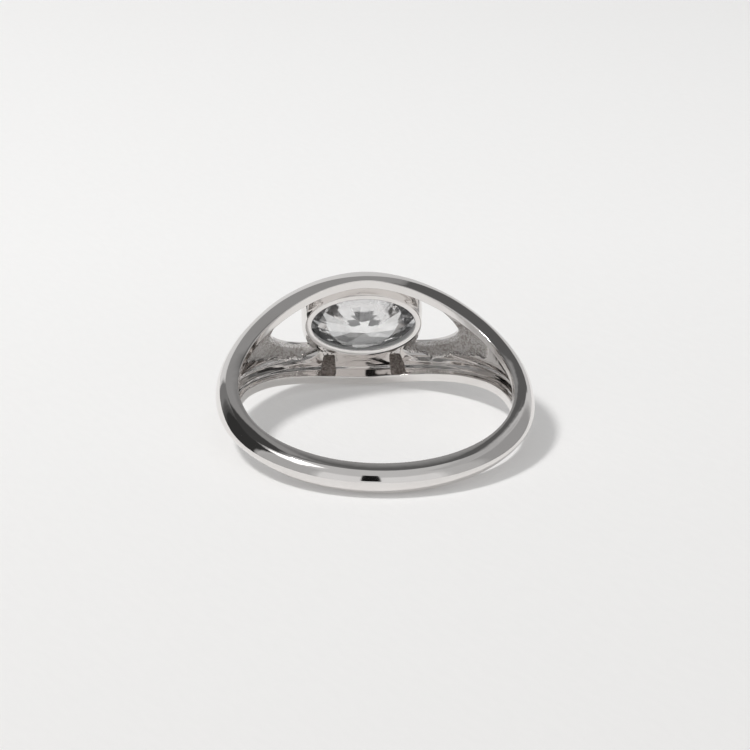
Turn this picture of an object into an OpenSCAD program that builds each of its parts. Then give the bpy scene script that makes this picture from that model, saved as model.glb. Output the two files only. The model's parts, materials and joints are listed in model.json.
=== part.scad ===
/* [Finger bore] */
// Diameter of the finger bore
bore_d = 16.5; // [15.5:0.1:17.5]

/* [Band] */
// Width of the band across the middle of the head
head_w = 7.56; // [7.2:0.02:8]
// Width of the band at the back of the finger
back_w = 1.62; // [1.4:0.02:2]
// Height of the flat side of the band at the back of the finger
back_side = 0.7; // [0.5:0.02:0.9]
// Rise of the rounded outer face above the flat side at the back of the finger
back_rise = 0.62; // [0.4:0.02:0.8]

/* [Hollow] */
// Width of the land left on each side of the hollow, where the finger touches
land_w = 0.57; // [0.45:0.01:0.7]
// Thickness of the metal skin above the hollow
skin_t = 0.7; // [0.6:0.05:0.8]
// Angle from the middle of the head to each end of the hollow
hollow_end = 91; // [86:1:96]

/* [Windows] */
// Half of the distance between the outer tips of the two windows
window_reach = 6.05; // [5.6:0.05:6.3]
// Half of the height that the windows would have at the middle of the head
window_h = 2; // [1.8:0.05:2.1]

/* [Collar] */
// Height of the collar's inner rim above the bore
rim_h = 1.03; // [0.95:0.02:1.15]
// Height of the collar's outer lip above the bore
lip_h = 2.95; // [2.9:0.05:3.05]
// Length of the collar at its inner rim
rim_l = 7.44; // [7.3:0.02:7.5]
// Width of the collar at its inner rim
rim_w = 4.5; // [4.4:0.02:4.6]
// Thickness of the collar wall at its inner rim
rim_t = 0.4; // [0.35:0.01:0.42]
// How much longer the collar is than the stone at its outer lip
collar_extra_l = 0.76; // [0.7:0.02:0.9]
// How much wider the collar is than the stone at its outer lip
collar_extra_w = 0.8; // [0.7:0.02:0.9]

/* [Stone] */
// Length of the oval stone
stone_l = 7; // [6.9:0.02:7.02]
// Width of the oval stone
stone_w = 4.6; // [4.5:0.02:4.62]
// Height of the underside of the stone's girdle above the bore
girdle_h = 2.23; // [2.22:0.01:2.25]
// Thickness of the girdle
girdle_t = 0.15; // [0.1:0.01:0.15]
// Depth of the pavilion, from the girdle to the culet
pavilion_h = 2.14; // [2:0.02:2.16]
// Height of the crown, from the girdle to the table
crown_h = 0.72; // [0.6:0.02:0.74]
// Width of the table as a share of the girdle's width
table_share = 0.58; // [0.52:0.01:0.62]

/* [Hidden] */

bore_r = bore_d / 2;
back_hw = back_w / 2;
collar_l = stone_l + collar_extra_l;
collar_w = stone_w + collar_extra_w;
// Distances from the finger axis
rim_y = bore_r + rim_h;
girdle_y = bore_r + girdle_h;
lip_y = bore_r + lip_h;

// How far a cut runs past the metal that it opens
CUT_OVER = 2;

// One row for each section of the band. The shares run from the back of the finger, at 0,
// to the middle of the head, at 1.
// [angle from the middle of the head, share of the head's extra half width,
//  flat side height, rise of the outer face, roundness power, part of the curve used]
BAND = [
    [0, 1, 0.58, 2.7, 3.5, 0.975],
    [15, 0.912, 0.82, 2.1, 3.5, 0.975],
    [30, 0.731, 0.98, 1.55, 3.35, 0.96],
    [50, 0.465, 0.9, 1.06, 2.75, 0.93],
    [70, 0.24, 0.78, 0.82, 2.2, 0.95],
    [92, 0.122, 0.68, 0.63, 2, 0.97],
    [120, 0.02, 0.66, 0.61, 2, 0.97],
    [150, 0, 0.68, 0.62, 2, 0.97],
    [180, 0, back_side, back_rise, 2, 0.97]
];
ANGLE = 0;
WIDE = 1;
SIDE = 2;
RISE = 3;
POWER = 4;
PART = 5;

// Smooth value of one column of the band's table at an angle, level at both ends
function slope(t, c, i) = i == 0 || i == len(t) - 1 ? 0
    : (t[i + 1][c] - t[i - 1][c]) / (t[i + 1][ANGLE] - t[i - 1][ANGLE]);
function row(t, a, i = 0) = i >= len(t) - 2 || a <= t[i + 1][ANGLE] ? i : row(t, a, i + 1);
function blend(t, c, a) = let (
        i = row(t, a),
        h = t[i + 1][ANGLE] - t[i][ANGLE],
        u = (a - t[i][ANGLE]) / h
    )
    t[i][c] * (2 * u ^ 3 - 3 * u ^ 2 + 1) + t[i + 1][c] * (3 * u ^ 2 - 2 * u ^ 3)
    + h * slope(t, c, i) * (u ^ 3 - 2 * u ^ 2 + u) + h * slope(t, c, i + 1) * (u ^ 3 - u ^ 2);

// Sizes of the band at an angle from the middle of the head
function half_w(a) = back_hw + (head_w / 2 - back_hw) * blend(BAND, WIDE, a);
function side_r(a) = bore_r + blend(BAND, SIDE, a);
function crown_r(a) = side_r(a) + blend(BAND, RISE, a);

// Rounded curve that falls from 1 at the middle to 0 at u = 1
function oval_fall(u, p) = max(0, 1 - abs(u) ^ p) ^ (1 / p);
function cut_fall(u, p, part) = (oval_fall(u * part, p) - oval_fall(part, p)) / (1 - oval_fall(part, p));

// Position in the ring's frame: finger axis along Z, head towards +Y
function place(r, a, z) = [r * sin(a), r * cos(a), z];

// Closed skin over a list of closed sections; a ring of sections is joined end to end
module loft(sections, ring = false) {
    n = len(sections[0]);
    m = len(sections);
    last = ring ? m - 1 : m - 2;
    walls = [
        for (i = [0:last], j = [0:n - 1]) let (
                a = i * n + j,
                b = i * n + (j + 1) % n,
                c = (i + 1) % m * n + (j + 1) % n,
                d = (i + 1) % m * n + j
            )
            each [[a, b, c], [a, c, d]]
    ];
    caps = ring ? [] : [[for (j = [n - 1:-1:0]) j], [for (j = [0:n - 1]) (m - 1) * n + j]];
    polyhedron([for (s = sections) each s], concat(walls, caps), convexity = 10);
}

// Ellipse in the plane at distance y from the finger axis
OVAL_SIDES = 56;
function oval(y, half_l, half_w, grow = 0) = [
    for (k = [0:OVAL_SIDES - 1]) let (t = 360 * k / OVAL_SIDES)
        [(half_l + grow) * cos(t), y, (half_w + grow) * sin(t)]
];

// The band before it is hollowed: flat sides and a rounded outer face. It starts inside the bore,
// which is cut to its true size last.
BAND_STEP = 4;
FACE_STEPS = 14;
BORE_STOCK = 0.8;
function band_section(a) = let (
        w = half_w(abs(a)),
        s = side_r(abs(a)),
        c = crown_r(abs(a)),
        p = blend(BAND, POWER, abs(a)),
        part = blend(BAND, PART, abs(a))
    )
    [
        place(bore_r - BORE_STOCK, a, w),
        for (k = [0:FACE_STEPS]) let (u = cos(180 * k / FACE_STEPS))
            place(s + (c - s) * cut_fall(u, p, part), a, w * u),
        place(bore_r - BORE_STOCK, a, -w)
    ];
module band_blank() {
    loft([for (a = [-180:BAND_STEP:180 - BAND_STEP]) band_section(a)], ring = true);
}

// The hollow behind the head, open towards the finger, with rounded ends
HOLLOW_STEPS = 40;
VAULT_STEPS = 12;
VAULT_POWER = 3;
VAULT_SPRING = 0.3;
END_POWER = 10;
END_SHARE = 0.3;
function end_fall(a) = sqrt(max(0, 1 - (abs(a) / hollow_end) ^ END_POWER));
function hollow_section(a) = let (
        f = max(END_SHARE, end_fall(a)),
        w = (half_w(abs(a)) - land_w) * f,
        top = bore_r + (crown_r(abs(a)) - skin_t - bore_r) * f,
        spring = bore_r + VAULT_SPRING * f
    )
    [
        place(bore_r - 2 * BORE_STOCK, a, w),
        for (k = [0:VAULT_STEPS]) let (u = cos(180 * k / VAULT_STEPS))
            place(spring + (top - spring) * oval_fall(u, VAULT_POWER), a, w * u),
        place(bore_r - 2 * BORE_STOCK, a, -w)
    ];
module hollow() {
    loft([for (k = [-HOLLOW_STEPS:HOLLOW_STEPS]) hollow_section(hollow_end * sin(90 * k / HOLLOW_STEPS))]);
}

// The two pierced windows, one each side of the collar, cut straight through the skin. Each has a
// pointed outer end and a flank that follows the collar.
WINDOW_STEPS = 14;
WINDOW_POWER = 3;
FLANK_TUCK = 0.08;
FLANK_STEPS = 3;
CORNER_Z = 1.72;
function window_edge(x) = window_h * (1 - (x / window_reach) ^ WINDOW_POWER) ^ (2 / 3);
function flank_x(z) = (collar_l / 2 - FLANK_TUCK) * (1 - (2 * abs(z) / collar_w) ^ WINDOW_POWER) ^ (1 / 3);
module window() {
    corner_x = flank_x(CORNER_Z);
    edge = [
        for (k = [0:WINDOW_STEPS]) let (x = corner_x + (window_reach - corner_x) * sin(90 * k / WINDOW_STEPS))
            [x, window_edge(x)]
    ];
    points = concat(
        edge,
        [for (k = [WINDOW_STEPS - 1:-1:0]) [edge[k][0], -edge[k][1]]],
        [for (k = [1 - FLANK_STEPS:FLANK_STEPS - 1]) let (z = CORNER_Z * k / FLANK_STEPS) [flank_x(z), z]]
    );
    translate([0, lip_y + CUT_OVER, 0])
        rotate([90, 0, 0])
            linear_extrude(lip_y + CUT_OVER - bore_r)
                polygon(points);
}

// The collar that holds the stone: an oval tube that widens away from the finger and stands
// upright from just under the girdle
RIM_ROUND = 0.06;
LIP_ROUND = 0.12;
UPRIGHT_BELOW = 0.05;
module collar() {
    loft([
        oval(rim_y, rim_l / 2, rim_w / 2, -RIM_ROUND),
        oval(rim_y + RIM_ROUND, rim_l / 2, rim_w / 2),
        oval(girdle_y - UPRIGHT_BELOW, collar_l / 2, collar_w / 2),
        oval(lip_y - LIP_ROUND, collar_l / 2, collar_w / 2),
        oval(lip_y, collar_l / 2, collar_w / 2, -LIP_ROUND)
    ]);
}

// The hole in the skin that the collar is set into, a little smaller than the collar
SOLDER_LAP = 0.14;
HOLE_START = 0.3;
module collar_hole() {
    loft([
        oval(rim_y - HOLE_START, collar_l / 2, collar_w / 2, -SOLDER_LAP),
        oval(lip_y + CUT_OVER, collar_l / 2, collar_w / 2, -SOLDER_LAP)
    ]);
}

// The space inside the collar: a throat, a seat for the girdle, and a lip that closes over the crown
RIM_FLARE = 0.02;
SEAT_LEDGE = 0.03;
SEAT_DEPTH = 0.15;
SEAT_GAP = 0.04;
LIP_CLOSE = 0.28;
LIP_EDGE = 0.1;
module collar_inside() {
    throat_l = rim_l / 2 - rim_t;
    throat_w = rim_w / 2 - rim_t;
    girdle_l = stone_l / 2;
    girdle_w = stone_w / 2;
    loft([
        oval(rim_y - CUT_OVER, throat_l, throat_w, RIM_FLARE),
        oval(rim_y, throat_l, throat_w, RIM_FLARE),
        oval(rim_y + RIM_ROUND, throat_l, throat_w),
        oval(girdle_y - SEAT_DEPTH, girdle_l, girdle_w, -SEAT_LEDGE),
        oval(girdle_y - SEAT_GAP, girdle_l, girdle_w, SEAT_GAP),
        oval(girdle_y + girdle_t + SEAT_GAP, girdle_l, girdle_w, SEAT_GAP),
        oval(lip_y - LIP_EDGE, girdle_l, girdle_w, SEAT_GAP - LIP_CLOSE),
        oval(lip_y + CUT_OVER, girdle_l, girdle_w, SEAT_GAP - LIP_CLOSE)
    ]);
}

// Place of the ring as it lies on its side: it leans until the head and the back of the band both
// touch the ground
FIRST_LEAN = 9;
LEAN_TRIES = 8;
HEAD_REACH = 40;
function low_edge(a, lean) = max([
    for (p = band_section(a)) -p[2] * cos(lean) - p[1] * sin(lean)
]);
function head_low(lean) = max([for (a = [0:BAND_STEP:HEAD_REACH]) low_edge(a, lean)]);
function settle(lean, tries) = tries == 0 ? lean
    : settle(lean + (head_low(lean) - low_edge(180, lean)) / (side_r(0) + side_r(180)) * 180 / PI, tries - 1);
lean = settle(FIRST_LEAN, LEAN_TRIES);
rest_z = head_low(lean);
front_y = lip_y * cos(lean) + (collar_w / 2 - LIP_ROUND) * sin(lean);
back_y = -max([for (p = band_section(180)) p[2] * sin(lean) - p[1] * cos(lean)]);
module at_rest() {
    translate([0, -(front_y + back_y) / 2, rest_z])
        rotate([lean, 0, 0])
            children();
}

// The cast metal before the finger bore is cut, brought to the head's exact width
module casting() {
    resize([0, 0, head_w])
        difference() {
            union() {
                difference() {
                    band_blank();
                    hollow();
                    window();
                    mirror([1, 0, 0])
                        window();
                    collar_hole();
                }
                collar();
            }
            collar_inside();
        }
}

// The metal of the ring in one piece: shank, two arches of the head and the collar
BORE_SIDES = 96;
module ring_band() {
    color("#d9d7d3")
        at_rest()
            difference() {
                casting();
                translate([0, 0, -head_w])
                    cylinder(h = 2 * head_w, r = bore_r, $fn = BORE_SIDES);
            }
}

// Facets of the stone, worked out for a girdle of radius 1 and stretched to the oval. The outer
// points of the stars lie at STAR_R, and the inner points of the lower halves at HALF_R.
MAINS = 8;
MAIN_TURN = 360 / MAINS;
STAR_R = 0.79;
HALF_R = 0.24;
GIRDLE_PER_MAIN = 8;
function at_turn(r, t, h) = [r * cos(t), h, r * sin(t)];
// Height on a main facet, which runs straight from the girdle to the table's corner or the culet
function main_h(r, inner_r, h) = h * (1 - r * cos(MAIN_TURN / 2)) / (1 - inner_r);
// Height of a half facet over the point (1, t): its plane holds the inner point and both girdle corners
function half_h(inner_r, inner_h, t) = let (
        q = MAIN_TURN / 2,
        f = abs(t - q * floor(t / q) - q / 2),
        mid = cos(q / 2),
        inner_mid = inner_r * cos(q / 2)
    )
    inner_h * (mid - cos(f)) / (mid - inner_mid);
module oval_stone() {
    star_h = main_h(STAR_R, table_share, crown_h);
    low_h = main_h(HALF_R, 0, pavilion_h);
    steps = MAINS * GIRDLE_PER_MAIN;
    half = GIRDLE_PER_MAIN / 2;
    top = girdle_t;
    points = concat(
        [for (k = [0:steps - 1]) let (t = 360 * k / steps) at_turn(1, t, top + half_h(STAR_R, star_h, t))],
        [for (k = [0:steps - 1]) let (t = 360 * k / steps) at_turn(1, t, -half_h(HALF_R, low_h, t))],
        [for (k = [0:MAINS - 1]) at_turn(STAR_R, MAIN_TURN * (k + 0.5), top + star_h)],
        [for (k = [0:MAINS - 1]) at_turn(table_share, MAIN_TURN * k, top + crown_h)],
        [for (k = [0:MAINS - 1]) at_turn(HALF_R, MAIN_TURN * (k + 0.5), -low_h)],
        [[0, -pavilion_h, 0]]
    );
    low = steps;
    star = 2 * steps;
    table = star + MAINS;
    inner = table + MAINS;
    culet = inner + MAINS;
    faces = concat(
        [for (k = [0:steps - 1]) let (n = (k + 1) % steps) [low + k, low + n, n, k]],
        [for (k = [0:MAINS - 1]) let (n = (k + 1) % MAINS) [table + k, star + k, table + n]],
        [for (k = [0:MAINS - 1]) let (b = (k + MAINS - 1) % MAINS)
            [table + k, star + b, k * GIRDLE_PER_MAIN, star + k]],
        [for (k = [0:MAINS - 1], side = [0, half])
            [star + k, for (j = [half:-1:0]) (k * GIRDLE_PER_MAIN + side + half - j) % steps]],
        [[for (k = [0:MAINS - 1]) table + k]],
        [for (k = [0:MAINS - 1]) let (b = (k + MAINS - 1) % MAINS)
            [culet, inner + k, low + k * GIRDLE_PER_MAIN, inner + b]],
        [for (k = [0:MAINS - 1], side = [0, half])
            [inner + k, for (j = [half:-1:0]) low + (k * GIRDLE_PER_MAIN + side + j) % steps]]
    );
    color("#e8eef2")
        at_rest()
            translate([0, girdle_y, 0])
                polyhedron([for (p = points) [p[0] * stone_l / 2, p[1], p[2] * stone_w / 2]], faces,
                    convexity = 10);
}

ring_band();
oval_stone();
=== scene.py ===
import json
from math import atan2, cos, degrees, pi, radians, sin, sqrt, tan

import bmesh
import bpy
from mathutils import Matrix, Vector


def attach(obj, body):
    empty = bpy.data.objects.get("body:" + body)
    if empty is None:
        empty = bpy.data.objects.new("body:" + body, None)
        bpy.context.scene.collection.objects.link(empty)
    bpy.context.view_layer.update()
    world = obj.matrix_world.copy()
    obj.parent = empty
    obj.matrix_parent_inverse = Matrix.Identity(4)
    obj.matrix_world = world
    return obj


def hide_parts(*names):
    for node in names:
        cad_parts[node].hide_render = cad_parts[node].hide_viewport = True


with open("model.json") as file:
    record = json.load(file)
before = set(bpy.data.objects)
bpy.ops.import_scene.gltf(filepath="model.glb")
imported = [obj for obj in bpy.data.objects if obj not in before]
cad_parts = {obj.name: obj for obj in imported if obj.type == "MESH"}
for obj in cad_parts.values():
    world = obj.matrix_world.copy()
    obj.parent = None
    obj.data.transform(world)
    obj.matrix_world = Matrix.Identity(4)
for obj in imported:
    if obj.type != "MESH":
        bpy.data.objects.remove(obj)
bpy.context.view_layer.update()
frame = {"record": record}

# Ring frame: millimetres, finger axis along Z, head towards +Y
MM = 0.001
bore_mount = frame["record"]["mounts"][0]
BORE_R = bore_mount["dims"]["r_mm"]
RING_CENTRE = Vector(bore_mount["pos_m"])
LEAN = atan2(-bore_mount["axis"][1], bore_mount["axis"][2])
RING_TO_ROW = Matrix.Translation(RING_CENTRE) @ Matrix.Rotation(LEAN, 4, "X") @ Matrix.Scale(MM, 4)

# Band
HEAD_HALF_W = 3.78
BACK_HALF_W = 0.81
LAND_W = 0.57
SKIN_T = 0.7
HOLLOW_END = 91.0
VAULT_SPRING = 0.3
VAULT_POWER = 3.0
# A ledge runs along the side walls of the hollow. Its place, its edge, its top and the stretch
# over which it fades are shares of the wall's height; LEDGE_IN is how far it stands in
LEDGE_AT = 0.42
LEDGE_IN = 0.12
LEDGE_EDGE = 0.16
LEDGE_TOP = 0.95
LEDGE_FADE = 0.3
SPRING_SHARE = 0.12
END_POWER = 10.0
# One row for each section: angle from the head, share of the extra half width, flat side height,
# rise of the outer face, roundness power, part of the curve used, tilt of the domed flat side at
# its outer edge in degrees
BAND = [
    (0, 1.0, 0.58, 2.7, 3.5, 0.975, 0.0),
    (15, 0.912, 0.82, 2.1, 3.5, 0.975, 0.0),
    (30, 0.731, 0.98, 1.55, 3.35, 0.96, 0.0),
    (50, 0.465, 0.9, 1.06, 2.75, 0.93, 1.0),
    (70, 0.24, 0.78, 0.82, 2.2, 0.95, 6.0),
    (92, 0.122, 0.68, 0.63, 1.8, 0.97, 14.0),
    (120, 0.02, 0.66, 0.61, 1.55, 0.97, 26.0),
    (150, 0.0, 0.68, 0.62, 1.75, 0.97, 13.0),
    (180, 0.0, 0.7, 0.62, 2.0, 0.97, 10.0),
]
WIDE, SIDE, RISE, POWER, PART, DOME = range(1, 7)

# Windows, collar and stone
WINDOW_REACH = 6.05
WINDOW_H = 2.0
WINDOW_POWER = 3.0
WINDOW_END_POWER = 2 / 3
RIM_Y = BORE_R + 1.03
LIP_Y = BORE_R + 2.95
RIM_HALF = (3.72, 2.25)
RIM_T = 0.4
STONE_HALF = (3.5, 2.3)
COLLAR_HALF = (3.88, 2.7)
GIRDLE_Y = BORE_R + 2.17
GIRDLE_T = 0.15
PAVILION_H = 2.14
CROWN_H = 0.72
TABLE_SHARE = 0.58

# Steps of the search for an opening's edge, and the most of a curve that one rounded corner takes
OPENING_TRIES = 12
MOST_ROUNDED = 0.3


def blend(column, angle):
    """Smooth value of one column of the band's table, level at both ends."""
    angle = abs(angle)
    i = next((k for k in range(len(BAND) - 1) if angle <= BAND[k + 1][0]), len(BAND) - 2)

    def slope(k):
        if k in (0, len(BAND) - 1):
            return 0.0
        return (BAND[k + 1][column] - BAND[k - 1][column]) / (BAND[k + 1][0] - BAND[k - 1][0])

    low, high = BAND[i], BAND[i + 1]
    step = high[0] - low[0]
    u = (angle - low[0]) / step
    return (
        low[column] * (2 * u**3 - 3 * u**2 + 1)
        + high[column] * (3 * u**2 - 2 * u**3)
        + step * slope(i) * (u**3 - 2 * u**2 + u)
        + step * slope(i + 1) * (u**3 - u**2)
    )


def ease(u):
    """Smooth step from 0 to 1 as u runs from 0 to 1."""
    u = max(0.0, min(1.0, u))
    return 3 * u**2 - 2 * u**3


def oval_fall(u, power):
    return max(0.0, 1 - abs(u) ** power) ** (1 / power)


class Section:
    """Sizes of the band at one angle from the middle of the head."""

    def __init__(self, angle):
        self.angle = radians(angle)
        self.half_w = BACK_HALF_W + (HEAD_HALF_W - BACK_HALF_W) * blend(WIDE, angle)
        self.side_r = BORE_R + blend(SIDE, angle)
        self.crown_r = self.side_r + blend(RISE, angle)
        self.power = blend(POWER, angle)
        self.part = blend(PART, angle)
        self.fall = tan(radians(blend(DOME, angle))) / 2 * (self.side_r - BORE_R)
        self.edge_w = self.half_w - self.fall
        self.depth = sqrt(max(0.0, 1 - (angle / HOLLOW_END) ** END_POWER))
        self.hollow_w = (self.half_w - LAND_W) * self.depth
        self.spring_r = BORE_R + VAULT_SPRING * self.depth
        self.top_r = BORE_R + (self.crown_r - SKIN_T - BORE_R) * self.depth

    def outer(self, z):
        cut = oval_fall(self.part, self.power)
        fall = (oval_fall(self.part * z / self.edge_w, self.power) - cut) / (1 - cut)
        return self.side_r + (self.crown_r - self.side_r) * fall

    def vault(self, z):
        if self.hollow_w == 0:
            return BORE_R
        return self.spring_r + (self.top_r - self.spring_r) * oval_fall(z / self.hollow_w, VAULT_POWER)

    def ledge(self, place):
        """Moves a point of the side wall in, above the ledge."""
        z, r = place
        up = (r - BORE_R) / max(self.top_r - BORE_R, 1e-6) - LEDGE_AT
        high = ease(up / LEDGE_EDGE + 0.5) * ease((LEDGE_TOP - LEDGE_AT - up) / LEDGE_FADE)
        return Vector((z - LEDGE_IN * self.depth * high, r))

    def opening(self, radius):
        """Half height of the opening through the skin, where it meets this section at a radius."""
        return opening_at(radius * sin(self.angle)) if cos(self.angle) > 0 else 0.0

    def opening_edge(self, surface):
        """Height at which a surface of the skin meets the opening."""
        z = self.opening(surface(0.0))
        for _ in range(OPENING_TRIES):
            z = 0.5 * z + 0.5 * self.opening(surface(z))
        return z


COLLAR_LAP = 0.14


def opening_at(x):
    """Half height of the windows and the collar's hole together, at a distance from the middle."""
    x = abs(x)
    window = WINDOW_H * max(0.0, 1 - (x / WINDOW_REACH) ** WINDOW_POWER) ** WINDOW_END_POWER
    half_l, half_w = COLLAR_HALF[0] - COLLAR_LAP, COLLAR_HALF[1] - COLLAR_LAP
    collar = half_w * sqrt(max(0.0, 1 - (x / half_l) ** 2))
    return max(window, collar)


def rounded(corners, curves, radii, counts, arc=3):
    """Closed outline of curves from corner to corner, with each corner rounded.

    curves[i] runs from corners[i] to corners[i + 1] as its argument runs from 0 to 1."""
    n = len(corners)
    lengths = [(corners[(i + 1) % n] - corners[i]).length for i in range(n)]
    points = []
    for i in range(n):
        length = max(lengths[i], 1e-9)
        start = min(radii[i] / length, MOST_ROUNDED)
        end = 1 - min(radii[(i + 1) % n] / length, MOST_ROUNDED)
        stretch = [curves[i](start + (end - start) * k / counts[i]) for k in range(counts[i] + 1)]
        points.append(stretch)
    outline = []
    for i in range(n):
        outline += points[i]
        a, b, c = points[i][-1], corners[(i + 1) % n], points[(i + 1) % n][0]
        for k in range(1, arc):
            u = k / arc
            outline.append(a * (1 - u) ** 2 + b * 2 * u * (1 - u) + c * u**2)
    return outline


SKIN_STEPS = 24
SIDE_STEPS = 6
LAND_STEPS = 4
VAULT_STEPS = 40
WALL_STEPS = 4
EDGE_RADII = (0.05, 0.08, 0.05, 0.05, 0.05)


def half_outline(angle):
    """The upper half of the band's section: outer face, flat side, land, hollow and skin edge."""
    s = Section(angle)
    out_z = s.opening_edge(s.outer)
    in_z = min(s.opening_edge(s.vault), s.hollow_w)

    def point(z, r):
        return Vector((z, r))

    def outer_face(u):
        z = out_z + (s.edge_w - out_z) * sin(u * pi / 2)
        return point(z, s.outer(z))

    def flat_side(u):
        return point(s.half_w - s.fall * (1 - u) ** 2, s.side_r + (BORE_R - s.side_r) * u)

    def land(u):
        return point(s.half_w + (s.hollow_w - s.half_w) * u, BORE_R)

    def hollow(u):
        if u < SPRING_SHARE:
            return point(s.hollow_w, BORE_R + (s.spring_r - BORE_R) * u / SPRING_SHARE)
        turn = (u - SPRING_SHARE) / (1 - SPRING_SHARE) * pi / 2
        z = in_z + (s.hollow_w - in_z) * cos(turn)
        return s.ledge(point(z, s.vault(z)))

    def skin_edge(u):
        r = s.vault(in_z) + (s.outer(out_z) - s.vault(in_z)) * u
        return point(s.opening(r), r)

    corners = [
        point(out_z, s.outer(out_z)),
        point(s.edge_w, s.side_r),
        point(s.half_w, BORE_R),
        point(s.hollow_w, BORE_R),
        point(in_z, s.vault(in_z)),
    ]
    radii = [min(EDGE_RADII[0], out_z / 2), *EDGE_RADII[1:4], min(EDGE_RADII[4], in_z / 2)]
    curves = (outer_face, flat_side, land, hollow, skin_edge)
    counts = (SKIN_STEPS, SIDE_STEPS, LAND_STEPS, VAULT_STEPS, WALL_STEPS)
    return rounded(corners, curves, radii, counts)


# Angles of the sections: close together where the hollow is, wider round the back
HEAD_STEP = 0.6
BACK_STEP = 1.5
HEAD_SPAN = 93.0


def section_angles():
    head = [HEAD_STEP * k for k in range(round(HEAD_SPAN / HEAD_STEP))]
    back_count = round((180 - HEAD_SPAN) / BACK_STEP)
    back = [HEAD_SPAN + (180 - HEAD_SPAN) * k / back_count for k in range(back_count + 1)]
    return head + back


def finish_mesh(name, bm, smooth=True):
    """Places a mesh worked in the ring frame and makes it a piece of the ring."""
    bmesh.ops.transform(bm, matrix=RING_TO_ROW, verts=bm.verts)
    for face in bm.faces:
        face.smooth = smooth
    mesh = bpy.data.meshes.new(name)
    bm.to_mesh(mesh)
    bm.free()
    piece = bpy.data.objects.new(name, mesh)
    bpy.context.scene.collection.objects.link(piece)
    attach(piece, "root")
    return piece


def grid(columns, rows):
    """A bmesh grid with a layer for rough parts and for painted light and shade, and its vertices as a
    table by column and row.
    """
    bm = bmesh.new()
    bm.verts.layers.float.new("as_cast")
    bmesh.ops.create_grid(bm, x_segments=columns - 1, y_segments=rows - 1, size=0.5)
    table = {}
    for vert in bm.verts:
        table[round((vert.co.x + 0.5) * (columns - 1)), round((vert.co.y + 0.5) * (rows - 1))] = vert
    return bm, table


WELD = 1e-4


def make_band():
    angles = section_angles()
    outlines = [half_outline(angle) for angle in angles]
    rows = len(outlines[0]) + 1
    bm, table = grid(len(angles), rows)
    for (i, j), vert in table.items():
        z, r = outlines[i][j % (rows - 1)]
        turn = radians(angles[i])
        vert.co = (r * sin(turn), r * cos(turn), z)
    inside = [f for f in bm.faces if all(abs(v.co.z) < WELD for v in f.verts)]
    bmesh.ops.delete(bm, geom=inside, context="FACES")
    bmesh.ops.remove_doubles(bm, verts=bm.verts, dist=WELD)
    bmesh.ops.dissolve_degenerate(bm, edges=bm.edges, dist=WELD)
    for axis in "XZ":
        bmesh.ops.mirror(bm, geom=bm.verts[:] + bm.edges[:] + bm.faces[:], axis=axis, merge_dist=WELD)
        bmesh.ops.remove_doubles(bm, verts=bm.verts, dist=WELD)
    bmesh.ops.recalc_face_normals(bm, faces=bm.faces)
    return bm


COLLAR_SIDES = 144
# Painted light: the seat and throat behind the stone are painted pale and rough, not metal, standing in
# for the light their bright-cut metal sends up through the stone. This value marks them, and the margin
# keeps it off the rim and the lip.
SEAT_LIGHT_MARK = -1.0
LIT_SEAT_MARGIN = 0.05
SEAT_GAP = 0.04
SEAT_STEP = 0.15
SEAT_IN = -0.03
LIP_CLOSE = 0.28
LIP_BELOW = 0.25
LIP_BELOW_SHARE = 0.6
THROAT_HALF = (RIM_HALF[0] - RIM_T, RIM_HALF[1] - RIM_T)
# Rounded edges of the collar, one row for each step: height from the rim or the lip, distance out
RIM_EDGE = [(0.0, -0.07), (0.02, -0.025), (0.07, 0.0)]
LIP_EDGE = [(-0.14, 0.0), (-0.08, -0.025), (-0.03, -0.07), (0.0, -0.14)]
LIP_MOUTH = [(0.0, 0.08), (-0.03, 0.02), (-0.1, 0.0)]
THROAT_EDGE = [(0.015, 0.015), (0.0, 0.05)]
# The collar's flank goes from an oval to a fuller outline and back, in steps up to the girdle and on
FLANK_STEPS = 12
FLANK_LOW = 0.07
FLANK_HIGH = 0.05
FULLER = 0.95
FULLER_FROM = 0.15
FULLER_OVER = 0.4
SHOULDER_STEPS = 6
SHOULDER_H = 0.5
THROAT_STEPS = 8
THROAT_LOW = 0.06


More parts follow.
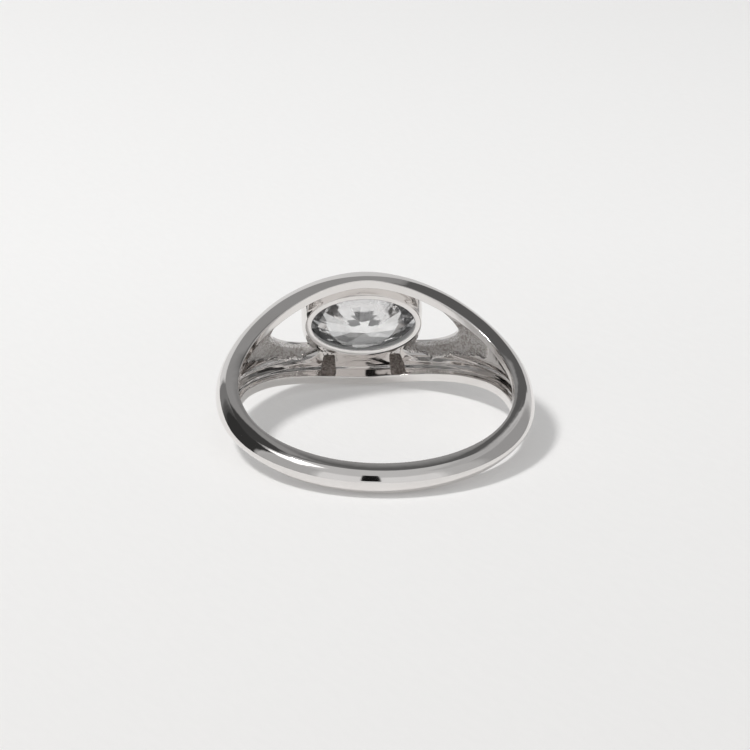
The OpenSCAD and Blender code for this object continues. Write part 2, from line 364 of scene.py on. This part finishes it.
def collar_rows():
    """Rows up the outside of the collar and down its inside: height, half length, half width, power."""
    def row(y, half, grow=0.0, power=2.0):
        return (y, half[0] + grow, half[1] + grow, power)

    def between(u):
        return tuple(a + (b - a) * u for a, b in zip(RIM_HALF, COLLAR_HALF))

    outside = [row(RIM_Y + up, RIM_HALF, out) for up, out in RIM_EDGE]
    rise = GIRDLE_Y - FLANK_HIGH - RIM_Y - FLANK_LOW
    for k in range(1, FLANK_STEPS + 1):
        u = k / FLANK_STEPS
        power = 2 + FULLER * max(0.0, min(1.0, (u - FULLER_FROM) / FULLER_OVER))
        outside.append(row(RIM_Y + FLANK_LOW + rise * u, between(u), 0.0, power))
    for k in range(1, SHOULDER_STEPS + 1):
        u = k / SHOULDER_STEPS
        outside.append(row(GIRDLE_Y - FLANK_HIGH + SHOULDER_H * u, COLLAR_HALF, 0.0, 2 + FULLER * (1 - u)))
    outside += [row(LIP_Y + up, COLLAR_HALF, out) for up, out in LIP_EDGE]

    inside = [row(LIP_Y + up, STONE_HALF, SEAT_GAP - LIP_CLOSE + out) for up, out in LIP_MOUTH]
    seat_low = GIRDLE_Y - SEAT_STEP
    inside += [
        row(LIP_Y - LIP_BELOW, STONE_HALF, SEAT_GAP - LIP_CLOSE * LIP_BELOW_SHARE),
        row(GIRDLE_Y + GIRDLE_T + SEAT_GAP, STONE_HALF, SEAT_GAP),
        row(GIRDLE_Y - SEAT_GAP, STONE_HALF, SEAT_GAP),
        row(seat_low, STONE_HALF, SEAT_IN),
    ]
    for k in range(1, THROAT_STEPS + 1):
        u = k / THROAT_STEPS
        half = tuple(a + SEAT_IN + (b - a - SEAT_IN) * u for a, b in zip(STONE_HALF, THROAT_HALF))
        inside.append(row(seat_low + (RIM_Y + THROAT_LOW - seat_low) * u, half))
    inside += [row(RIM_Y + up, THROAT_HALF, out) for up, out in THROAT_EDGE]
    return outside + inside


def make_collar():
    rows = collar_rows()
    bm, table = grid(COLLAR_SIDES + 1, len(rows) + 1)
    for (i, j), vert in table.items():
        y, half_l, half_w, power = rows[j % len(rows)]
        turn = 2 * pi * i / COLLAR_SIDES
        size = (abs(cos(turn)) ** power + abs(sin(turn)) ** power) ** (-1 / power)
        vert.co = (half_l * size * cos(turn), y, half_w * size * sin(turn))
    lit_seat_layer = bm.verts.layers.float["as_cast"]
    for (i, j), vert in table.items():
        y = rows[j % len(rows)][0]
        # Painted light: marks the inside of the collar, between rim and lip, for the pale seat
        if j > rows.index(max(rows)) and RIM_Y + LIT_SEAT_MARGIN < y < LIP_Y - LIT_SEAT_MARGIN:
            vert[lit_seat_layer] = SEAT_LIGHT_MARK
    bmesh.ops.remove_doubles(bm, verts=bm.verts, dist=WELD)
    bmesh.ops.recalc_face_normals(bm, faces=bm.faces)
    return bm


STRUT_X = 2.22
STRUT_W = 0.92
STRUT_ROUND = 0.08
# Marks the struts as rough as cast and painted dark, a painted shade of the hollow around them
STRUT_CAST_AND_SHADE = 2.0
# Corners of a strut seen from its side: distance from the finger axis, distance from the mid-plane
STRUT_SIDE = ((8.35, -3.3), (8.42, -2.72), (9.3, -2.62), (9.8, -2.35), (9.8, -3.0))


def make_struts():
    """Two short struts between the collar and the lower wall of the hollow."""
    bm = bmesh.new()
    for x in (-STRUT_X, STRUT_X):
        verts = [bm.verts.new((x - STRUT_W / 2, y, z)) for y, z in STRUT_SIDE]
        face = bm.faces.new(verts)
        pushed = bmesh.ops.extrude_face_region(bm, geom=[face])["geom"]
        moved = [part for part in pushed if isinstance(part, bmesh.types.BMVert)]
        bmesh.ops.translate(bm, vec=(STRUT_W, 0, 0), verts=moved)
    bmesh.ops.bevel(
        bm, geom=bm.edges[:], offset=STRUT_ROUND, segments=2, profile=0.5, affect="EDGES", material=-1,
    )
    bmesh.ops.recalc_face_normals(bm, faces=bm.faces)
    return bm


MAINS = 8
MAIN_TURN = 2 * pi / MAINS
STAR_R = 0.79
HALF_R = 0.24
GIRDLE_SIDES = 96
STONE_UP = Matrix(((1, 0, 0, 0), (0, 0, 1, 0), (0, -1, 0, 0), (0, 0, 0, 1)))


def make_stone():
    """A round brilliant of radius 1, cut facet by facet and stretched to the oval."""
    bm = bmesh.new()
    depth = PAVILION_H + GIRDLE_T + CROWN_H
    bmesh.ops.create_cone(
        bm, cap_ends=True, segments=GIRDLE_SIDES, radius1=1, radius2=1, depth=depth,
        matrix=Matrix.Translation((0, 0, depth / 2 - PAVILION_H)),
    )

    def cut(turn, low, high):
        """Cuts the facet that faces a turn and holds two points, each a radius and a height."""
        facing = Vector((cos(turn), sin(turn), 0))
        run, rise = high[0] - low[0], high[1] - low[1]
        normal = facing * rise - Vector((0, 0, run))
        if normal.dot(facing) < 0:
            normal.negate()
        cut_edges = bmesh.ops.bisect_plane(
            bm, geom=bm.verts[:] + bm.edges[:] + bm.faces[:], dist=1e-5,
            plane_co=facing * low[0] + Vector((0, 0, low[1])), plane_no=normal, clear_outer=True,
        )["geom_cut"]
        edges = [e for e in cut_edges if isinstance(e, bmesh.types.BMEdge)]
        if edges:
            bmesh.ops.contextual_create(bm, geom=edges)

    top = GIRDLE_T
    near = cos(MAIN_TURN / 4)
    star_h = CROWN_H * (1 - STAR_R * cos(MAIN_TURN / 2)) / (1 - TABLE_SHARE)
    half_h = PAVILION_H * (1 - HALF_R * cos(MAIN_TURN / 2))
    for k in range(MAINS):
        turn = k * MAIN_TURN
        cut(turn, (1, 0), (0, -PAVILION_H))
        cut(turn, (1, top), (TABLE_SHARE, top + CROWN_H))
    for k in range(MAINS):
        turn = (k + 0.5) * MAIN_TURN
        cut(turn, (STAR_R, top + star_h), (TABLE_SHARE * cos(MAIN_TURN / 2), top + CROWN_H))
    for k in range(2 * MAINS):
        turn = (k + 0.5) * MAIN_TURN / 2
        cut(turn, (near, 0), (HALF_R * near, -half_h))
        cut(turn, (near, top), (STAR_R * near, top + star_h))
    bmesh.ops.remove_doubles(bm, verts=bm.verts, dist=1e-5)
    stretch = Matrix.Diagonal((STONE_HALF[0], STONE_HALF[1], 1, 1))
    seated = Matrix.Translation((0, GIRDLE_Y, 0)) @ STONE_UP @ stretch
    bmesh.ops.transform(bm, matrix=seated, verts=bm.verts)
    bmesh.ops.recalc_face_normals(bm, faces=bm.faces)
    return bm


# Materials
class Signal:
    """A shader value that sums, products and powers can be written with."""

    def __init__(self, tree, socket):
        self.tree = tree
        self.socket = socket

    def apply(self, operation, *values):
        node = self.tree.nodes.new("ShaderNodeMath")
        node.operation = operation
        for value, slot in zip(values, node.inputs):
            plug(self.tree, value, slot)
        return Signal(self.tree, node.outputs[0])

    def __add__(self, other):
        return self.apply("ADD", self, other)

    def __sub__(self, other):
        return self.apply("SUBTRACT", self, other)

    def __rsub__(self, other):
        return self.apply("SUBTRACT", other, self)

    def __mul__(self, other):
        return self.apply("MULTIPLY", self, other)

    def __pow__(self, other):
        return self.apply("POWER", self, other)

    __radd__ = __add__
    __rmul__ = __mul__

    def clipped(self):
        return self.apply("MINIMUM", self.apply("MAXIMUM", self, 0.0), 1.0)

    def ramp(self, low, high):
        """0 at low, 1 at high."""
        return ((self - low) * (1 / (high - low))).clipped()


def plug(tree, value, slot):
    if isinstance(value, Signal):
        tree.links.new(value.socket, slot)
    else:
        slot.default_value = value


class Finish:
    """A material, with one method for every node in it."""

    def __init__(self, name):
        self.material = bpy.data.materials.new(name)
        self.material.use_nodes = True
        self.tree = self.material.node_tree
        self.surface = self.tree.nodes["Principled BSDF"]

    def node(self, kind, settings=None, inputs=None, output=0):
        node = self.tree.nodes.new("ShaderNode" + kind)
        for name, value in (settings or {}).items():
            setattr(node, name, value)
        for name, value in (inputs or {}).items():
            plug(self.tree, value, node.inputs[name])
        return Signal(self.tree, node.outputs[output])

    def set(self, **values):
        for name, value in values.items():
            plug(self.tree, value, self.surface.inputs[name.replace("_", " ")])

    def ring_place(self):
        """Position in the ring frame, in millimetres."""
        place = self.node("TexCoord", output="Object")
        return self.node(
            "Mapping", {"vector_type": "TEXTURE"},
            {"Vector": place, "Location": RING_CENTRE, "Rotation": (LEAN, 0, 0), "Scale": (MM, MM, MM)},
        )

    def noise(self, place, scale, detail=2.0, roughness=0.5):
        return self.node(
            "TexNoise", {}, {"Vector": place, "Scale": scale, "Detail": detail, "Roughness": roughness}
        )

    def bump(self, height, distance, strength=1.0, below=None):
        inputs = {"Height": height, "Distance": distance, "Strength": strength}
        if below is not None:
            inputs["Normal"] = below
        return self.node("Bump", {}, inputs)

    def mix(self, factor, low, high):
        node = self.tree.nodes.new("ShaderNodeMix")
        node.data_type = "RGBA"
        plug(self.tree, factor, node.inputs[0])
        plug(self.tree, low, node.inputs[6])
        plug(self.tree, high, node.inputs[7])
        return Signal(self.tree, node.outputs[2])


def rgb(r, g, b):
    return (r, g, b, 1.0)


# Scales of the metal's noises, per millimetre
GRAIN_SCALE = 6.5
FINE_SCALE = 22.0
PATCH_SCALE = 1.3
SMUDGE_SCALE = 0.35
MARK_SCALE = 0.9
# Colours, each the darker and the lighter of a pair
POLISHED = (rgb(0.79, 0.765, 0.75), rgb(0.83, 0.81, 0.795))
AS_CAST = (rgb(0.62, 0.575, 0.55), rgb(1.0, 0.99, 0.97))
# Painted shade: the struts' dark tones, for the shade in the hollow around them
STRUT_SHADE_TONES = (rgb(0.24, 0.205, 0.185), rgb(0.5, 0.45, 0.42))
STONE_TONES = (rgb(0.97, 0.975, 0.98), rgb(1.0, 1.0, 1.0))
# Painted light: the pale colour of the seat and throat behind the stone
SEAT_PAINTED_LIGHT = rgb(0.85, 0.85, 0.85)
# Painted shade: the floor is painted a little darker towards the camera, standing in for light that falls
# off there: its colours, and where in metres each is reached
FLOOR_NEAR_SHADED = rgb(0.68, 0.677, 0.673)
FLOOR_FAR_LIT = rgb(0.77, 0.77, 0.768)
FLOOR_NEAR_Y = -0.05
FLOOR_FAR_Y = 0.04
# Painted light: the floor glows a little, though it is no lamp, lifting its shadows
FLOOR_GLOW = rgb(1.0, 0.99, 0.98)
FELT_GREY = rgb(0.5, 0.5, 0.5)
FELT_TURN = radians(-63)
FELT_SCALE = (1.3 * MM, 0.5 * MM, MM)
TOOTH_SCALE = 2600.0


def white_gold():
    """Polished white gold, left rough as cast where a wheel doesn't reach into the hollow, with painted
    light on the seat behind the stone and painted shade on the struts.
    """
    f = Finish("white_gold")
    place = f.ring_place()
    # The layer holds the as-cast share, and marks the seat's painted light below 0 and the struts' painted
    # shade above 1
    cast = f.node("Attribute", {"attribute_name": "as_cast"}, output="Fac")
    grain = f.noise(place, GRAIN_SCALE, 4.0, 0.65)
    fine = f.noise(place, FINE_SCALE, 3.0, 0.7)
    patches = f.noise(place, PATCH_SCALE, 3.0, 0.6)
    rough = (cast + (patches - 0.5) * 0.7).ramp(0.35, 0.65)
    smudge = f.noise(place, SMUDGE_SCALE, 3.0, 0.6)
    polish = 0.03 + smudge * 0.05
    # Painted light: the seat behind the stone is pale, rough and not metal
    painted_light_seat = (cast * -1.0).clipped()
    f.set(Metallic=1 - painted_light_seat - rough * 0.3)
    f.set(Roughness=polish + rough * (0.15 + fine * 0.16 - polish) + painted_light_seat * 0.6)
    tone = f.mix(smudge.ramp(0.3, 0.7), *POLISHED)
    cast_and_strut_shade = f.mix((grain * 0.75 + patches * 0.25).ramp(0.42, 0.54), *AS_CAST)
    # Painted shade: the struts are painted dark over their as-cast grain
    strut_shade = f.mix(grain.ramp(0.42, 0.58), *STRUT_SHADE_TONES)
    cast_and_strut_shade = f.mix((cast - 1).clipped(), cast_and_strut_shade, strut_shade)
    f.set(Base_Color=f.mix(painted_light_seat, f.mix(rough, tone, cast_and_strut_shade), SEAT_PAINTED_LIGHT))
    marks = f.bump(f.noise(place, MARK_SCALE, 2.0, 0.5), 0.8 * MM, 0.015)
    f.set(Normal=f.bump((grain * 0.8 + fine * 0.2) * rough, 0.45 * MM, 1.0, marks))
    return f.material


def clear_stone():
    f = Finish("clear_stone")
    place = f.ring_place()
    cloud = f.noise(place, 1.2, 2.0, 0.5)
    f.set(Transmission_Weight=0.95, IOR=2.1, Roughness=0.0, Metallic=0.0)
    f.set(Base_Color=f.mix(cloud.ramp(0.3, 0.7), *STONE_TONES))
    return f.material


def paper():
    f = Finish("paper")
    place = f.node("TexCoord", output="Object")
    turned = f.node(
        "Mapping", {"vector_type": "TEXTURE"},
        {"Vector": place, "Rotation": (0, 0, FELT_TURN), "Scale": FELT_SCALE},
    )
    felt = f.noise(turned, 1.0, 3.0, 0.5)
    tooth = f.noise(place, TOOTH_SCALE, 2.0, 0.5)
    # Painted light: the floor's glow
    f.set(Roughness=0.95, Specular_IOR_Level=0.1, Emission_Color=FLOOR_GLOW, Emission_Strength=0.17)
    # Painted shade: darker towards the camera
    near = f.node("SeparateXYZ", {}, {"Vector": place}, output=1).ramp(FLOOR_FAR_Y, FLOOR_NEAR_Y)
    pale = f.mix(near, FLOOR_FAR_LIT, FLOOR_NEAR_SHADED)
    f.set(Base_Color=f.mix(felt.ramp(0.3, 0.7) * 0.04, pale, FELT_GREY))
    f.set(Normal=f.bump(felt * 0.7 + tooth * 0.3, 0.06 * MM, 0.5))
    return f.material


# The rough part of the hollow: half its height at the head and further round, and where it ends
CAST_HALF = 2.0
CAST_NARROWS = 1.35
CAST_NARROWS_FROM = 27
CAST_NARROWS_OVER = 21
CAST_SLOPE = 1.2
CAST_TOP = 0.8
CAST_FADE_FROM = 50
CAST_FADE_OVER = 5
CAST_UNDER_SKIN = 0.3
CAST_ABOVE_BORE = 0.45


def as_cast_share(place):
    """1 where the hollow is left as cast, 0 where the metal is polished."""
    x, y, z = place
    angle = degrees(atan2(abs(x), y))
    radius = sqrt(x * x + y * y)
    if z > CAST_TOP or angle > CAST_FADE_FROM + CAST_FADE_OVER:
        return 0.0
    s = Section(angle)
    skin = s.outer(min(abs(z), s.half_w)) - CAST_UNDER_SKIN
    if not BORE_R + CAST_ABOVE_BORE < radius < skin:
        return 0.0
    narrows = max(0.0, min(1.0, (angle - CAST_NARROWS_FROM) / CAST_NARROWS_OVER))
    limit = CAST_HALF - CAST_NARROWS * narrows
    share = max(0.0, min(1.0, 0.5 + (limit - abs(z)) * CAST_SLOPE))
    return share * min(1.0, 1 - (angle - CAST_FADE_FROM) / CAST_FADE_OVER)


def build_ring():
    band = make_band()
    metal = white_gold()
    cast = band.verts.layers.float["as_cast"]
    for vert in band.verts:
        vert[cast] = as_cast_share(vert.co)
    struts = make_struts()
    rough = struts.verts.layers.float.new("as_cast")
    # The struts are marked as rough as-cast metal with painted shade
    for vert in struts.verts:
        vert[rough] = STRUT_CAST_AND_SHADE
    for part in (make_collar(), struts):
        spare = bpy.data.meshes.new("spare")
        part.to_mesh(spare)
        part.free()
        band.from_mesh(spare)
        bpy.data.meshes.remove(spare)
    piece = finish_mesh("ring_metal", band)
    piece.data.materials.append(metal)
    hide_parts("ring_band")

    stone = finish_mesh("oval_stone_cut", make_stone(), smooth=False)
    stone.data.materials.append(clear_stone())
    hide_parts("oval_stone")


# Camera, as fitted to the two edges of the bore in the 750 pixel frame
FRAME_PX = 750
SENSOR_MM = 36.0
CAMERA_FAR = 130.0
PX_PER_MM = 16.65
CENTRE_PX = (375.95, 400.2)
VIEW_YAW = radians(4.9)
VIEW_ROLL = radians(1.46)
VIEW_RISE = radians(30.9)


def make_camera():
    yaw = Matrix.Rotation(VIEW_YAW, 3, "Z")
    roll = Matrix(((cos(VIEW_ROLL), 0, sin(VIEW_ROLL)), (0, 1, 0), (-sin(VIEW_ROLL), 0, cos(VIEW_ROLL))))
    rise = Matrix((
        (1, 0, 0),
        (0, sin(VIEW_RISE), cos(VIEW_RISE)),
        (0, -cos(VIEW_RISE), sin(VIEW_RISE)),
    ))
    turned = Matrix.Rotation(LEAN, 3, "X") @ (rise @ roll @ yaw).transposed()
    data = bpy.data.cameras.new("camera")
    camera = bpy.data.objects.new("camera", data)
    data.sensor_width = SENSOR_MM
    data.lens = PX_PER_MM * CAMERA_FAR / FRAME_PX * SENSOR_MM
    data.shift_x = (FRAME_PX / 2 - CENTRE_PX[0]) / FRAME_PX
    data.shift_y = (CENTRE_PX[1] - FRAME_PX / 2) / FRAME_PX
    data.clip_start = 0.005
    data.clip_end = 20
    place = RING_CENTRE + turned @ Vector((0, 0, CAMERA_FAR * MM))
    camera.matrix_world = Matrix.Translation(place) @ turned.to_4x4()
    bpy.context.scene.collection.objects.link(camera)
    bpy.context.scene.camera = camera


FLOOR_HALF = 1.5


def make_floor():
    bm = bmesh.new()
    bmesh.ops.create_grid(bm, x_segments=1, y_segments=1, size=FLOOR_HALF)
    mesh = bpy.data.meshes.new("floor")
    bm.to_mesh(mesh)
    bm.free()
    floor = bpy.data.objects.new("floor", mesh)
    bpy.context.scene.collection.objects.link(floor)
    floor.data.materials.append(paper())


# The light, from the shadow on the floor; turns are measured from +Y towards +X, in degrees
KEY_TURN = -95.6
KEY_RISE = 60.6
KEY_FAR = 0.6
KEY_SIZE = 0.11
KEY_POWER = 2.0
KEY_COLOUR = (1.0, 0.99, 0.98)
ROOM = 0.56
# One row for each lighter or darker part of the room: turn, half its width, lowest and highest
# rise, softness of its edges in degrees, brightness
WALLS = [
    (180, 48, -20, 46, 8, 0.76),
    (-112, 22, -20, 50, 8, 0.45),
    (-4, 30, -20, 30, 3, 0.72),
    (28, 28, -20, 30, 10, 0.62),
    (-8, 30, 31, 61, 4, 0.3),
    (12, 20, 53, 70, 10, 0.12),
    (-20, 20, 61, 70, 5, 0.17),
    (33, 12, 22, 62, 3, 0.11),
    (83, 30, -20, 48, 8, 0.35),
    (120, 14, -20, 48, 12, 0.5),
    (83, 42, 48, 66, 8, 0.45),
    (-42, 8, -20, 50, 3, 0.2),
    (-52, 4, -20, 50, 5, 0.09),
    (-71, 17, -20, 50, 4, 0.036),
    (-50, 18, 46, 64, 5, 0.055),
    (-96, 19, 49, 71, 4, 1.6),
    (188, 7, 12, 60, 2, 0.01),
]


def make_studio():
    """A bright room: light grey all round, with darker walls and cards that the metal reflects."""
    world = bpy.data.worlds.new("studio")
    bpy.context.scene.world = world
    world.use_nodes = True
    tree = world.node_tree
    back = tree.nodes["Background"]
    coords = tree.nodes.new("ShaderNodeTexCoord")
    split = tree.nodes.new("ShaderNodeSeparateXYZ")
    tree.links.new(coords.outputs["Generated"], split.inputs[0])
    x, y, z = (Signal(tree, socket) for socket in split.outputs)
    across = (x * x + y * y + 1e-6) ** 0.5
    rise = z.apply("ARCTAN2", z, across) * (180 / pi)
    level = Signal(tree, tree.nodes.new("ShaderNodeValue").outputs[0])
    level.socket.default_value = ROOM
    for turn, half_turn, low, high, soft, tone in WALLS:
        aim = radians(turn)
        edge = soft / 2
        facing = x * sin(aim) + y * cos(aim)
        facing = facing.apply("DIVIDE", facing, across)
        inside = facing.ramp(cos(radians(half_turn + edge)), cos(radians(max(half_turn - edge, 0.0))))
        inside = inside * rise.ramp(low - edge, low + edge)
        inside = inside * (1 - rise.ramp(high - edge, high + edge))
        level = level * (1 - inside) + inside * tone
    tree.links.new(level.socket, back.inputs["Strength"])
    back.inputs["Color"].default_value = rgb(1, 1, 1)


def make_key():
    """The lamp: a round area light, small enough to leave a clear shadow."""
    data = bpy.data.lights.new("key", "AREA")
    data.shape = "DISK"
    data.size = KEY_SIZE
    data.energy = KEY_POWER
    data.color = KEY_COLOUR
    lamp = bpy.data.objects.new("key", data)
    turn, rise = radians(KEY_TURN), radians(KEY_RISE)
    out = Vector((sin(turn) * cos(rise), cos(turn) * cos(rise), sin(rise)))
    lamp.location = out * KEY_FAR
    lamp.rotation_mode = "QUATERNION"
    lamp.rotation_quaternion = out.to_track_quat("Z", "Y")
    bpy.context.scene.collection.objects.link(lamp)


make_camera()
make_floor()
make_studio()
make_key()
build_ring()
bpy.context.scene.view_settings.view_transform = "Standard"
